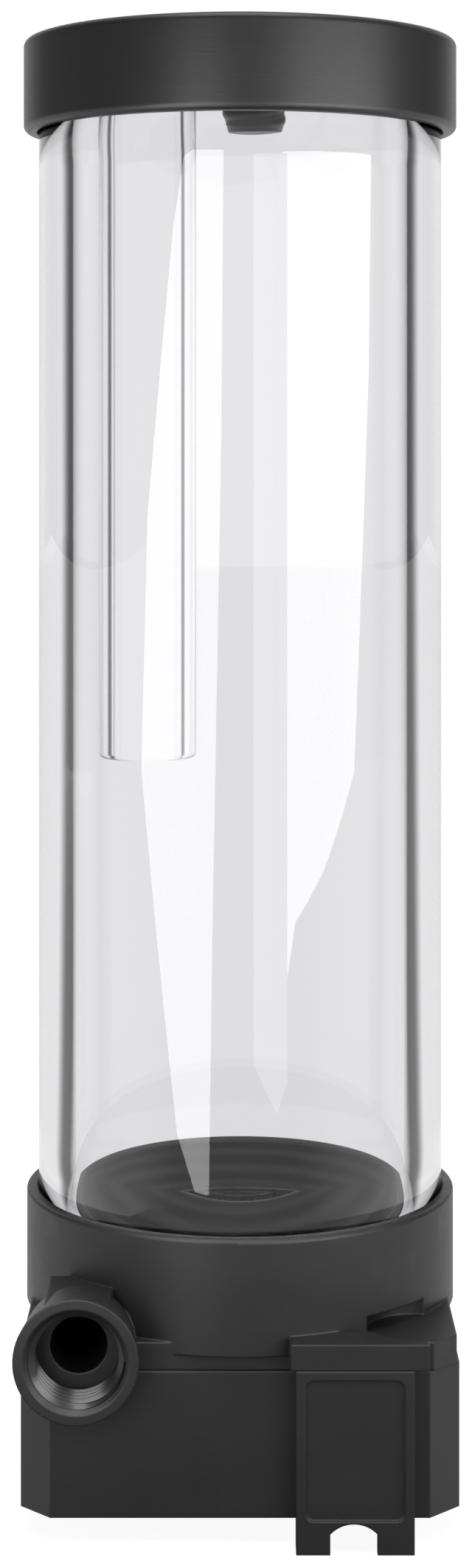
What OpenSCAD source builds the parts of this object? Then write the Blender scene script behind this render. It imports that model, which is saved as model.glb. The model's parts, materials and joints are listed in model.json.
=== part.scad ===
// Coolant pump with a clear tube reservoir on top.
// Millimetres, +Z up. The origin is the centre of the pump's bottom face, and the front is -Y.

/* [Reservoir tube] */
// Outer diameter of the clear tube
tube_od = 60; // [58:0.5:64]
// Wall of the clear tube
tube_wall = 5; // [3.5:0.25:5.5]
// Length of the clear tube
tube_length = 172; // [130:1:260]
// Depth that the tube's ends are turned down by, to carry their threads
tube_thread_depth = 0.8; // [0.5:0.1:1.2]
// Plain length of the tube that stays inside the mouth of the cap and of the collar
tube_mouth_land = 0.6; // [0.3:0.1:1.5]
// Thickness of the flat seals at the tube's two ends
seal_thickness = 1; // [0.6:0.1:1.6]

/* [Cap] */
// Depth of the tube's upper end in the cap
cap_depth = 7.45; // [6:0.05:10]
// Wall of the cap's skirt round the tube
cap_wall = 1.95; // [1.6:0.05:4]
// Thickness of the cap above the tube's end
cap_top = 5.2; // [5.2:0.1:10]
// Height of the cap's inner plug above the skirt's lower edge
cap_plug_recess = 0.1; // [0.1:0.1:1]
// Gap between the cap and the tube, inside and outside
cap_gap = 0.3; // [0.3:0.05:0.5]
// Rounding of the cap's outer edges
cap_edge = 1; // [0.4:0.1:1.6]
// Turn of the fill port round the cap, from the +X side
fill_angle = 26.6; // [22:0.1:34]
// Wall between the fill port and the edge of the cap's plug
fill_margin = 1.2; // [0.8:0.1:1.5]
// Place of the bleed screw to the right of the middle
bleed_x = 2.2; // [1:0.1:3]
// Place of the bleed screw in front of the middle
bleed_front = 4; // [3:0.1:6]
// Length of the bleed screw below the cap's plug
bleed_tip = 2.7; // [1:0.1:5]

/* [Ports] */
// Major radius of the large pipe thread, in the outlet, return and fill ports
port_r = 6.58; // [6.4:0.01:6.8]
// Depth of the thread in the outlet and return ports
port_depth = 8; // [6.5:0.1:9]
// Chamfer at the mouth of each threaded port
port_chamfer = 0.7; // [0.3:0.1:0.9]
// Major radius of the small pipe thread of the bleed screw
bleed_r = 4.86; // [4.6:0.01:5]
// Radial clearance of a screw plug in its thread
plug_fit = 0.08; // [0.04:0.01:0.1]
// Radius of the fill plug's head
fill_head_r = 8.5; // [8:0.1:8.8]
// Depth of the pocket that the fill plug's head sits in
fill_pocket = 3.2; // [2.6:0.1:4]
// Radius of the bleed screw's head
bleed_head_r = 6.2; // [6:0.1:6.6]
// Depth of the pocket that the bleed screw's head sits in
bleed_pocket = 2.4; // [2:0.1:3.4]
// Thickness of the small seal rings under the heads
ring_wire = 0.8; // [0.6:0.1:1]
// Width of the coin slot in each head
slot_w = 1.6; // [1:0.1:2.4]

/* [Drop tube] */
// Outer diameter of the clear drop tube
drop_od = 14.7; // [13:0.1:15]
// Wall of the clear drop tube
drop_wall = 2.2; // [1.2:0.1:2.6]
// Length of the drop tube below the cap's plug
drop_length = 93; // [20:1:110]
// Depth of the drop tube's end in the cap's plug
drop_seat = 4.5; // [3:0.1:5]
// Wall between the drop tube's seat and the edge of the cap's plug
drop_margin = 3.35; // [2:0.05:4]

/* [Pump top] */
// Wall of the collar round the tube
collar_wall = 1.6; // [1.2:0.05:3]
// Radial gap between the collar and the tube
collar_gap = 0.15; // [0.1:0.05:0.3]
// Depth of the tube's lower end in the collar
collar_depth = 8; // [5:0.1:10]
// Step of the square flange inside the housing's faces
flange_inset = 0.4; // [0.1:0.05:1.7]
// Cut across the flange's corners
flange_corner = 3.4; // [2:0.1:5]
// Thickness of the flange
flange_h = 3.9; // [3.4:0.1:5]
// Height of the collar's lower edge above the flange's underside
collar_lift = 2.2; // [1:0.1:3]
// Depth of the spigot that locates the pump top in the motor housing
spigot_depth = 3.5; // [3:0.1:4.5]
// Distance of the spigot inside the housing's faces
spigot_inset = 4.55; // [4.2:0.05:4.8]
// Height of the volute
volute_h = 10.9; // [10:0.1:13]
// Distance between the volute's start and the edge of the spigot
volute_inset = 8; // [7.6:0.1:8.4]
// Growth of the volute's radius over its turn
volute_growth = 5; // [3:0.1:5.4]
// Thickness of the floor between the volute and the reservoir
floor_t = 1.6; // [1.2:0.1:3]
// Depth of the floor below the ledge that carries the tube's seal
floor_step = 0.5; // [0.2:0.1:1]
// Radius of the inlet in the floor
inlet_r = 8; // [6:0.1:10]
// Height of the screw pockets above the flange's corners
pocket_h = 2.3; // [1.5:0.1:4]
// Radius of the screw pockets
pocket_r = 7.5; // [6:0.1:8]

/* [Outlet] */
// Distance of the outlet's axis inside the housing's left face
outlet_inset = 8.25; // [8:0.05:8.4]
// Height of the outlet's axis above the flange's underside
outlet_rise = 3; // [2.4:0.1:3.4]
// Length of the outlet boss in front of the housing
outlet_reach = 5.75; // [4.75:0.05:11]
// Radius of the outlet boss at its face
outlet_boss_r = 8.65; // [8.2:0.05:8.8]
// Fall of the boss's radius from its face back to the pump
outlet_taper = 0.8; // [0:0.05:0.9]
// Radius of the outlet's passage
passage_r = 4; // [3:0.1:4.4]
// Wall round the outlet's passage
passage_wall = 1.6; // [1.2:0.1:2]
// Width of the flat rib over the outlet boss
rib_w = 9; // [6:0.1:11]
// Height of the flat rib above the outlet's axis
rib_rise = 7.2; // [6:0.1:9]

/* [Motor housing] */
// Width over the flats of the motor housing
housing_w = 61.5; // [61.4:0.1:66]
// Cut across the housing's corners
housing_corner = 4.4; // [3:0.1:6]
// Height of the motor housing
housing_h = 20.35; // [19.85:0.05:24]
// Wall of the motor housing
housing_wall = 2.2; // [1.6:0.1:2.6]
// Thickness of the bottom cover
cover_t = 2.4; // [1.6:0.1:2.6]
// Clearance round parts that drop into the housing
drop_in_fit = 0.15; // [0.1:0.01:0.25]
// Distance of the corner screws inside the housing's faces
screw_inset = 5.55; // [5.4:0.05:5.9]
// Place of the front screw to the right of the outlet's axis
front_screw_right = 12.1; // [11.6:0.1:13]
// Distance of the front screw inside the housing's front face
front_screw_inset = 3.45; // [3.35:0.05:3.55]
// Radius of the housing screws' shanks
screw_r = 1.4; // [1:0.1:1.5]
// Radius of the housing screws' heads
screw_head_r = 2.6; // [2.2:0.1:2.7]
// Height of the housing screws' heads
screw_head_h = 1.8; // [1.4:0.1:2.2]

/* [Rotor] */
// Gap between the impeller and the start of the volute
impeller_gap = 1.2; // [0.8:0.1:3]
// Number of blades
blade_count = 7; // [5:1:9]
// Thickness of a blade
blade_t = 1.3; // [0.9:0.1:1.8]
// Height of a blade
blade_h = 6.2; // [4:0.1:6.6]
// Radius of the arc that a blade follows
blade_arc_r = 14; // [13:0.1:15]
// Thickness of the impeller's disc
disc_t = 1.4; // [1:0.1:1.8]
// Radius of the rotor magnet as a percentage of the stator core's
magnet_share = 43.8; // [42:0.1:44]
// Radius of the shaft
shaft_r = 1.5; // [1:0.1:1.6]
// Running clearance between the shaft and its bush
running_fit = 0.05; // [0.02:0.01:0.1]
// Radius of the bush
bush_r = 2.9; // [2.6:0.1:3]

/* [Stator] */
// Distance of the stator core inside the edge of the spigot
stator_inset = 6.1; // [5.8:0.1:6.6]
// Height of the stator core
stator_h = 5.6; // [4:0.1:6]
// Number of stator teeth
tooth_count = 6; // [6:3:9]
// Width of a stator tooth
tooth_w = 3.4; // [2.4:0.1:3.6]
// Wall of the isolation can between rotor and stator
can_wall = 0.8; // [0.5:0.1:0.9]
// Thickness of the isolation can's flange
can_flange_t = 2; // [1.4:0.1:2.4]

/* [Cable cover] */
// Width of the cable cover
fork_w = 16.3; // [15:0.1:17]
// Distance of the cable cover's middle inside the housing's right face
fork_inset = 14.9; // [14.2:0.05:15.7]
// Depth of the cable cover in front of the housing
fork_depth = 3.85; // [3:0.05:5]
// Length of the two prongs below the housing
prong_length = 3.7; // [3:0.1:8]
// Gap between the two prongs
prong_gap = 6.5; // [5:0.1:7.5]
// Height of the brow over the cable cover
brow_h = 3.65; // [2.4:0.05:4]
// Overhang of the brow past the cable cover, to the right
brow_over = 2.1; // [0.5:0.1:2.6]

/* [Hidden] */
$fn = 96;
// Length by which a cut runs past the face that it opens
past = 1;

// Heights of the stack, from the bottom up
flange_z = housing_h;
flange_top_z = flange_z + flange_h;
collar_z = flange_z + collar_lift;
spigot_z = flange_z - spigot_depth;
ceiling_z = spigot_z + volute_h;
floor_z = ceiling_z + floor_t;
ledge_z = floor_z + floor_step;
tube_z = ledge_z + seal_thickness;
rim_z = tube_z + collar_depth;
tube_top_z = tube_z + tube_length;
cap_z = tube_top_z - cap_depth;
plug_z = cap_z + cap_plug_recess;
cap_seat_z = tube_top_z + seal_thickness;
cap_top_z = cap_seat_z + cap_top;

// Reservoir
tube_r = tube_od / 2;
bore_r = tube_r - tube_wall;
tube_thread_r = tube_r - tube_thread_depth;
collar_bore_r = tube_r + collar_gap;
collar_r = collar_bore_r + collar_wall;
cap_bore_r = tube_r + cap_gap;
cap_r = cap_bore_r + cap_wall;
plug_r = bore_r - cap_gap - 0.1;
drop_r = drop_od / 2;
drop_bore_r = drop_r - drop_wall;
drop_x = -(plug_r - drop_margin - drop_r);
drop_seat_fit = 0.05;
fill_radius = plug_r - fill_margin - port_r;
fill_at = [fill_radius * cos(fill_angle), fill_radius * sin(fill_angle)];
bleed_at = [bleed_x, -bleed_front];
head_gap = 0.4;
fill_seat_z = cap_top_z - fill_pocket;
bleed_seat_z = cap_top_z - bleed_pocket;
head_below_top = 0.3;

// Outlet and housing
housing_half = housing_w / 2;
flange_w = housing_w - 2 * flange_inset;
spigot_r = housing_half - spigot_inset;
outlet_x = outlet_inset - housing_half;
outlet_z = flange_z + outlet_rise;
outlet_face = housing_half + outlet_reach;
boss_root_r = outlet_boss_r - outlet_taper;
boss_cut_r = outlet_boss_r + drop_in_fit;
boss_back = -outlet_face + port_depth + 1;
duct_r = passage_r + passage_wall;
rib_front = 2;
ring_groove_w = 1.6;
can_seat_z = spigot_z - can_flange_t;
deck_z = can_seat_z - 2;
sleeve_wall = 2;
corner_boss_r = 4.2;
front_boss_r = 3.8;
screw_pitch = housing_half - screw_inset;
screw_at = [[screw_pitch, screw_pitch], [-screw_pitch, screw_pitch], [screw_pitch, -screw_pitch],
    [outlet_x + front_screw_right, front_screw_inset - housing_half]];
screw_head_z = 0.5;
screw_seat_z = screw_head_z + screw_head_h;
screw_tip_z = flange_top_z - 1;

// Motor
volute_start_r = spigot_r - volute_inset;
impeller_r = volute_start_r - impeller_gap;
stator_r = spigot_r - stator_inset;
magnet_r = stator_r * magnet_share / 100;
can_bore_r = magnet_r + 0.7;
can_r = can_bore_r + can_wall;
can_z = 5.2;
can_floor_z = can_z + can_wall;
can_boss_z = can_floor_z + 1.2;
washer_t = 0.6;
bush_z = can_boss_z + washer_t + 0.1;
disc_z = spigot_z + 1.5;
stem_z = bush_z + 0.1;
stem_r = bush_r + 0.7;
hub_r = stem_r + 0.6;
hub_top_z = disc_z + disc_t + 2;
magnet_z = stem_z + 0.2;
magnet_h = spigot_z - magnet_z;
hub_bottom_z = ceiling_z - 1;
spider_hub_r = shaft_r + 1.7;
spider_arm_w = 1.8;
shaft_top_z = floor_z - 1;
stator_z = 6.8;
stator_bore_r = can_r + 0.4;
yoke_bore_r = stator_r - 2.7;
coil_over = 1;
coil_w = tooth_w + 5;
board_z = cover_t + 1;
board_t = 1.2;
board_top_z = board_z + board_t;
board_half_x = housing_half - 5.75;
board_half_y = housing_half - 7.55;

// Cable cover
fork_x = housing_half - fork_inset;
fork_left = fork_x - fork_w / 2;
fork_front = -housing_half - fork_depth;
brow_z = flange_z + 1.2;
fork_wall = 1.5;
fork_rim = 1.3;
fork_recess = 0.5;
lead_slot_w = prong_gap;
lead_slot_h = 5;
lead_slot_z = cover_t + 1;

// A ring in the plane, between two radii.
module ring(outer_r, inner_r) {
    difference() {
        circle(outer_r);
        circle(inner_r);
    }
}

// A tube standing on height z.
module tube(outer_r, inner_r, z, height) {
    translate([0, 0, z])
        linear_extrude(height)
            ring(outer_r, inner_r);
}

// A square, centred, with its corners cut across.
module cut_square(width, corner) {
    half = width / 2;
    polygon([for (turn = [0 : 90 : 270], point = [[half, half - corner], [half - corner, half]])
        [point[0] * cos(turn) - point[1] * sin(turn), point[0] * sin(turn) + point[1] * cos(turn)]]);
}

// A rectangle with its lower left corner at the origin and all corners rounded.
module round_rect(width, height, radius) {
    translate([radius, 0])
        square([width - 2 * radius, height]);
    translate([0, radius])
        square([width, height - 2 * radius]);
    for (x = [radius, width - radius], y = [radius, height - radius])
        translate([x, y])
            circle(radius);
}

// Turns a flat outline in X and Z into a plate from depth "front" back to depth "back".
module plate(front, back) {
    translate([0, back, 0])
        rotate([90, 0, 0])
            linear_extrude(back - front)
                children();
}

// A round bar along the outlet's axis.
module outlet_bar(radius, front, back) {
    translate([outlet_x, back, outlet_z])
        rotate([90, 0, 0])
            cylinder(h = back - front, r = radius);
}

// A cut for a threaded port whose mouth faces up at height z.
module port_cut(radius, z, depth) {
    translate([0, 0, z - depth])
        cylinder(h = depth + past, r = radius);
    translate([0, 0, z - port_chamfer])
        cylinder(h = 2 * port_chamfer, r1 = radius, r2 = radius + 2 * port_chamfer);
}

module reservoir_tube() {
    color([0.85, 0.9, 0.92, 0.35])
        difference() {
            tube(tube_r, bore_r, tube_z, tube_length);
            tube(tube_r + past, tube_thread_r, tube_z - past, collar_depth - tube_mouth_land + past);
            tube(tube_r + past, tube_thread_r, cap_z + tube_mouth_land, cap_depth);
        }
}

module tube_seal() {
    color([0.06, 0.06, 0.06])
        tube(tube_r, bore_r, ledge_z, seal_thickness);
}

// The cap's outside: a disc with rounded edges, open below.
module cap_body() {
    height = cap_top_z - cap_z;
    translate([0, 0, cap_z])
        rotate_extrude() {
            square([cap_r - cap_edge, height]);
            translate([0, cap_edge])
                square([cap_r, height - 2 * cap_edge]);
            for (y = [cap_edge, height - cap_edge])
                translate([cap_r - cap_edge, y])
                    circle(cap_edge);
        }
}

module top_cap() {
    color([0.12, 0.12, 0.125])
        difference() {
            cap_body();
            tube(cap_bore_r, plug_r, cap_z - past, cap_seat_z - cap_z + past);
            translate([0, 0, cap_z - past])
                cylinder(h = past + cap_plug_recess, r = cap_bore_r);
            translate(fill_at) {
                translate([0, 0, cap_z])
                    cylinder(h = cap_top_z - cap_z, r = port_r);
                translate([0, 0, fill_seat_z])
                    cylinder(h = fill_pocket + past, r = fill_head_r + head_gap);
            }
            translate(bleed_at) {
                translate([0, 0, cap_z])
                    cylinder(h = cap_top_z - cap_z, r = bleed_r);
                translate([0, 0, bleed_seat_z])
                    cylinder(h = bleed_pocket + past, r = bleed_head_r + head_gap);
            }
            translate([drop_x, 0, 0]) {
                port_cut(port_r, cap_top_z, port_depth);
                translate([0, 0, cap_z])
                    cylinder(h = cap_top_z - cap_z, r = drop_bore_r);
                translate([0, 0, cap_z])
                    cylinder(h = plug_z - cap_z + drop_seat, r = drop_r + drop_seat_fit);
            }
        }
}

module cap_seal() {
    color([0.06, 0.06, 0.06])
        tube(tube_r - 0.1, bore_r, tube_top_z, seal_thickness);
}

module drop_tube() {
    color([0.85, 0.9, 0.92, 0.35])
        translate([drop_x, 0, 0])
            tube(drop_r, drop_bore_r, plug_z - drop_length, drop_length + drop_seat);
}

// A screw plug: a head with a coin slot and a groove for its seal ring, over a threaded neck.
module screw_plug(head_r, thread_r, seat_z, tip_z) {
    head_h = cap_top_z - head_below_top - seat_z;
    difference() {
        union() {
            translate([0, 0, seat_z])
                cylinder(h = head_h, r = head_r);
            translate([0, 0, tip_z])
                cylinder(h = seat_z - tip_z, r = thread_r);
        }
        tube(thread_r + 2 * ring_wire * 0.6, thread_r, seat_z - past, past + ring_wire);
        translate([-head_r * 0.7, -slot_w / 2, seat_z + head_h - 0.9])
            cube([head_r * 1.4, slot_w, past + 0.9]);
    }
}

// A seal ring of round section round a neck, resting on height z.
module seal_ring(neck_r, z) {
    translate([0, 0, z + ring_wire / 2])
        rotate_extrude()
            translate([neck_r + ring_wire * 0.6, 0])
                circle(ring_wire / 2);
}

module fill_plug() {
    color([0.14, 0.14, 0.145])
        translate(fill_at)
            screw_plug(fill_head_r, port_r - plug_fit, fill_seat_z, plug_z);
}

module fill_plug_ring() {
    color([0.06, 0.06, 0.06])
        translate(fill_at)
            seal_ring(port_r - plug_fit, fill_seat_z);
}

module bleed_screw() {
    color([0.14, 0.14, 0.145])
        translate(bleed_at)
            screw_plug(bleed_head_r, bleed_r - plug_fit, bleed_seat_z, plug_z - bleed_tip);
}

module bleed_screw_ring() {
    color([0.06, 0.06, 0.06])
        translate(bleed_at)
            seal_ring(bleed_r - plug_fit, bleed_seat_z);
}

// The collar's outside, with a rounded rim.
module collar_body() {
    edge = 0.6;
    translate([0, 0, collar_z])
        rotate_extrude() {
            square([collar_r, rim_z - collar_z - edge]);
            square([collar_r - edge, rim_z - collar_z]);
            translate([collar_r - edge, rim_z - collar_z - edge])
                circle(edge);
        }
}

// The volute: a spiral from the tongue round to the outlet.
module volute() {
    steps = 48;
    start = 200;
    sweep = 340;
    linear_extrude(volute_h + past)
        polygon([for (i = [0 : steps])
            let (angle = start + sweep * i / steps, r = volute_start_r + volute_growth * i / steps)
                [r * cos(angle), r * sin(angle)]]);
}

// The outlet boss with its drafted side, the duct behind it and the flat rib over it.
module outlet_body() {
    translate([outlet_x, boss_back, outlet_z])
        rotate([90, 0, 0])
            cylinder(h = outlet_face + boss_back, r1 = boss_root_r, r2 = outlet_boss_r);
    outlet_bar(duct_r, boss_back - past, 0);
    translate([outlet_x - rib_w / 2, -collar_r - rib_front, outlet_z])
        cube([rib_w, rib_front - outlet_x / 2, rib_rise]);
}

module outlet_cuts() {
    outlet_bar(passage_r, -outlet_face - past, -passage_r / 2);
    translate([outlet_x, -passage_r / 2, outlet_z])
        sphere(passage_r);
    outlet_bar(port_r, -outlet_face - past, -outlet_face + port_depth);
    translate([outlet_x, -outlet_face + port_chamfer, outlet_z])
        rotate([90, 0, 0])
            cylinder(h = 2 * port_chamfer, r1 = port_r, r2 = port_r + 2 * port_chamfer);
}

// The hub that holds the shaft's upper end, on three arms across the inlet.
module spider() {
    difference() {
        union() {
            translate([0, 0, hub_bottom_z])
                cylinder(h = floor_z - hub_bottom_z, r = spider_hub_r);
            for (turn = [90 : 120 : 330])
                rotate(turn)
                    translate([0, -spider_arm_w / 2, ceiling_z])
                        cube([inlet_r + 0.4, spider_arm_w, floor_t]);
        }
        translate([0, 0, hub_bottom_z - past])
            cylinder(h = shaft_top_z - hub_bottom_z + past, r = shaft_r);
    }
}

module pump_top() {
    color([0.11, 0.11, 0.115]) {
        difference() {
            union() {
                collar_body();
                translate([0, 0, flange_z])
                    linear_extrude(flange_h)
                        cut_square(flange_w, flange_corner);
                translate([0, 0, spigot_z])
                    cylinder(h = spigot_depth + collar_lift, r = spigot_r);
                outlet_body();
                translate([fork_left - 0.7, fork_front + 0.1, brow_z])
                    cube([fork_w + 0.7 + brow_over, fork_depth + 2, brow_h]);
            }
            translate([0, 0, ledge_z])
                cylinder(h = rim_z - ledge_z + past, r = collar_bore_r);
            translate([0, 0, floor_z])
                cylinder(h = floor_step + past, r = bore_r);
            translate([0, 0, spigot_z - past])
                volute();
            translate([0, 0, ceiling_z - past])
                cylinder(h = floor_t + 2 * past, r = inlet_r);
            outlet_cuts();
            tube(spigot_r + past, spigot_r - ring_groove_w, spigot_z - past, past + ring_groove_w);
            for (at = screw_at)
                translate([at[0], at[1], flange_z - past])
                    cylinder(h = screw_tip_z - flange_z + past + 0.2, r = screw_r + 0.05);
            for (at = [screw_at[0], screw_at[1], screw_at[2]])
                translate([at[0], at[1], flange_top_z])
                    cylinder(h = pocket_h, r = pocket_r);
        }
        spider();
    }
}

module housing_ring() {
    color([0.06, 0.06, 0.06])
        translate([0, 0, spigot_z + ring_groove_w / 2])
            rotate_extrude()
                translate([spigot_r - ring_groove_w / 2, 0])
                    circle(ring_groove_w / 2);
}

// One blade: an arc that trails the turn of the impeller.
module blade() {
    inner_r = hub_r + 2;
    tip_inset = 0.3;
    centre_r = 10.3;
    centre_angle = -111;
    intersection() {
        ring(impeller_r - tip_inset, inner_r);
        rotate(centre_angle)
            translate([centre_r, 0])
                ring(blade_arc_r, blade_arc_r - blade_t);
        rotate(centre_angle)
            translate([-impeller_r, 0])
                square([2 * impeller_r, impeller_r]);
    }
}

module impeller() {
    color([0.2, 0.2, 0.21])
        difference() {
            union() {
                translate([0, 0, disc_z])
                    cylinder(h = disc_t, r = impeller_r);
                translate([0, 0, disc_z + disc_t])
                    linear_extrude(blade_h)
                        for (i = [0 : blade_count - 1])
                            rotate(i * 360 / blade_count)
                                blade();
                translate([0, 0, disc_z])
                    cylinder(h = hub_top_z - disc_z, r = hub_r);
                translate([0, 0, stem_z])
                    cylinder(h = disc_z - stem_z, r = stem_r);
            }
            translate([0, 0, stem_z - past])
                cylinder(h = hub_top_z - stem_z + 2 * past, r = bush_r);
        }
}

module rotor_magnet() {
    color([0.25, 0.25, 0.27])
        tube(magnet_r, stem_r + 0.02, magnet_z, magnet_h);
}

module rotor_bush() {
    color([0.15, 0.15, 0.16])
        tube(bush_r, shaft_r + running_fit, bush_z, hub_top_z - bush_z);
}

module rotor_shaft() {
    color([0.85, 0.84, 0.8])
        translate([0, 0, can_floor_z])
            cylinder(h = shaft_top_z - can_floor_z, r = shaft_r);
}

module thrust_washer() {
    color([0.8, 0.78, 0.72])
        tube(bush_r, shaft_r + running_fit, can_boss_z, washer_t);
}

module isolation_can() {
    color([0.15, 0.15, 0.16]) {
        tube(spigot_r, can_bore_r, can_seat_z, can_flange_t);
        tube(can_r, can_bore_r, can_floor_z, can_seat_z - can_floor_z);
        translate([0, 0, can_z])
            cylinder(h = can_wall, r = can_r);
        tube(bush_r, shaft_r, can_floor_z, can_boss_z - can_floor_z);
    }
}

module stator_core() {
    shoe_t = 1.5;
    shoe_gap = 2;
    color([0.55, 0.56, 0.58])
        translate([0, 0, stator_z])
            linear_extrude(stator_h) {
                ring(stator_r, yoke_bore_r);
                for (i = [0 : tooth_count - 1])
                    rotate(i * 360 / tooth_count)
                        translate([stator_bore_r + shoe_t / 2, -tooth_w / 2])
                            square([yoke_bore_r - stator_bore_r, tooth_w]);
                difference() {
                    ring(stator_bore_r + shoe_t, stator_bore_r);
                    for (i = [0 : tooth_count - 1])
                        rotate((i + 0.5) * 360 / tooth_count)
                            translate([0, -shoe_gap / 2])
                                square([stator_r, shoe_gap]);
                }
            }
}

// One coil, wound round a tooth that points along +X.
module coil() {
    start = stator_bore_r + 1.7;
    end = sqrt(pow(yoke_bore_r, 2) - pow(coil_w / 2, 2)) - 0.1;
    height = stator_h + 2 * coil_over;
    translate([start, -coil_w / 2, stator_z - coil_over])
        rotate([90, 0, 90])
            linear_extrude(end - start)
                difference() {
                    round_rect(coil_w, height, 1.6);
                    translate([(coil_w - tooth_w) / 2 - 0.05, coil_over - 0.05])
                        square([tooth_w + 0.1, stator_h + 0.1]);
                }
}

module stator_coils() {
    color([0.72, 0.36, 0.16])
        for (i = [0 : tooth_count - 1])
            rotate(i * 360 / tooth_count)
                coil();
}

module circuit_board() {
    corner = 8;
    color([0.05, 0.3, 0.12])
        translate([0, 0, board_z])
            linear_extrude(board_t)
                intersection() {
                    cut_square(2 * board_half_x, corner);
                    translate([-board_half_x, -board_half_y])
                        square([2 * board_half_x, 2 * board_half_y]);
                }
}

module board_capacitors() {
    capacitor_r = 2;
    capacitor_h = 4.6;
    place = (stator_r + sleeve_wall + capacitor_r + 0.4) / sqrt(2);
    color([0.3, 0.32, 0.36])
        for (x = [-place, place])
            translate([x, place, board_top_z])
                cylinder(h = capacitor_h, r = capacitor_r);
}

module driver_chips() {
    chip_h = 1;
    chip_w = 5;
    color([0.1, 0.1, 0.1])
        for (turn = [60 : 120 : 300])
            rotate(turn)
                translate([can_r + 1.2, -chip_w / 2, board_top_z])
                    cube([chip_w, chip_w, chip_h]);
}

module lead_header() {
    header = [8, 3.5, 4.8];
    pin = 0.7;
    pin_pitch = 2;
    left = fork_x - header[0] / 2;
    color([0.9, 0.9, 0.86])
        difference() {
            translate([left, -board_half_y + 0.1, board_top_z])
                cube(header);
            for (i = [0 : 3])
                translate([left + header[0] / 2 + (i - 1.5) * pin_pitch - pin / 2,
                        -board_half_y + 0.1 + (header[1] - pin) / 2, board_top_z + header[2] - 2])
                    cube([pin, pin, 2 + past]);
        }
}

// The opening in the housing's front wall for the pump's lead.
module lead_slot(extra) {
    translate([fork_x - lead_slot_w / 2 - extra, lead_slot_z - extra])
        round_rect(lead_slot_w + 2 * extra, lead_slot_h + 2 * extra, 1 + extra);
}

module cable_grommet() {
    lip = 0.7;
    lead_w = 4.4;
    lead_h = 2.2;
    color([0.08, 0.08, 0.08])
        difference() {
            union() {
                plate(-housing_half, -housing_half + housing_wall)
                    lead_slot(-0.02);
                plate(-housing_half - lip, -housing_half)
                    lead_slot(lip);
                plate(-housing_half + housing_wall, -housing_half + housing_wall + lip)
                    lead_slot(lip);
            }
            plate(-housing_half - past - lip, -housing_half + housing_wall + lip + past)
                translate([fork_x - lead_w / 2, lead_slot_z + (lead_slot_h - lead_h) / 2])
                    round_rect(lead_w, lead_h, 1);
        }
}

module motor_housing() {
    inner_w = housing_w - 2 * housing_wall;
    color([0.13, 0.13, 0.135])
        difference() {
            union() {
                difference() {
                    linear_extrude(housing_h)
                        cut_square(housing_w, housing_corner);
                    translate([0, 0, -past])
                        linear_extrude(deck_z + past)
                            cut_square(inner_w, housing_corner - housing_wall * (2 - sqrt(2)));
                }
                tube(stator_r + 0.1 + sleeve_wall, stator_r + 0.1, can_z + 1, deck_z - can_z - 1);
                for (i = [0 : len(screw_at) - 1])
                    translate([screw_at[i][0], screw_at[i][1], 0])
                        intersection() {
                            cylinder(h = deck_z, r = i < 3 ? corner_boss_r : front_boss_r);
                            translate([-screw_at[i][0], -screw_at[i][1], 0])
                                linear_extrude(deck_z)
                                    cut_square(housing_w, housing_corner);
                        }
            }
            translate([0, 0, deck_z - past])
                cylinder(h = housing_h - deck_z + 2 * past, r = stator_r + 0.1);
            translate([0, 0, can_seat_z])
                cylinder(h = housing_h - can_seat_z + past, r = spigot_r + drop_in_fit);
            outlet_bar(boss_cut_r, -housing_half - past, boss_back + drop_in_fit);
            outlet_bar(duct_r + drop_in_fit, -housing_half - past, drop_in_fit);
            for (at = screw_at)
                translate([at[0], at[1], -past]) {
                    cylinder(h = housing_h + 2 * past, r = screw_r + 0.2);
                    cylinder(h = screw_seat_z + past, r = screw_head_r + 0.2);
                }
            plate(-housing_half - past, -housing_half + housing_wall + past)
                lead_slot(0);
        }
}

module bottom_cover() {
    width = housing_w - 2 * housing_wall - 2 * drop_in_fit;
    post_r = 1.8;
    post_x = board_half_x - 5;
    post_y = board_half_y - 6.2;
    color([0.12, 0.12, 0.125]) {
        difference() {
            linear_extrude(cover_t)
                cut_square(width, housing_corner - housing_wall * (2 - sqrt(2)));
            for (i = [0 : len(screw_at) - 1])
                translate([screw_at[i][0], screw_at[i][1], -past])
                    cylinder(h = cover_t + 2 * past, r = (i < 3 ? corner_boss_r : front_boss_r) + drop_in_fit);
        }
        for (x = [-post_x, post_x], y = [-post_y, post_y])
            translate([x, y, cover_t])
                cylinder(h = board_z - cover_t, r = post_r);
    }
}

module housing_screws() {
    recess = 1;
    color([0.6, 0.6, 0.62])
        for (at = screw_at)
            translate([at[0], at[1], 0])
                difference() {
                    union() {
                        translate([0, 0, screw_head_z])
                            cylinder(h = screw_head_h, r = screw_head_r);
                        translate([0, 0, screw_seat_z])
                            cylinder(h = screw_tip_z - screw_seat_z, r = screw_r);
                    }
                    for (turn = [0, 90])
                        rotate(turn)
                            translate([-screw_head_r * 0.6, -0.35, screw_head_z - past])
                                cube([screw_head_r * 1.2, 0.7, past + recess]);
                }
}

// The cable cover's front outline, with an arched notch between two prongs.
module fork_outline() {
    arch_rise = 1.4;
    arch_foot = 0.85;
    gap_left = fork_x - 0.2 - prong_gap / 2;
    arch_r = (pow(prong_gap / 2, 2) + arch_rise * arch_rise) / (2 * arch_rise);
    difference() {
        translate([fork_left, -prong_length])
            square([fork_w, brow_z + prong_length]);
        translate([gap_left, -prong_length - past])
            square([prong_gap, prong_length + past - arch_foot]);
        intersection() {
            translate([gap_left, -arch_foot - past])
                square([prong_gap, past + arch_rise]);
            translate([gap_left + prong_gap / 2, arch_rise - arch_foot - arch_r])
                circle(arch_r);
        }
    }
}

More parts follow.
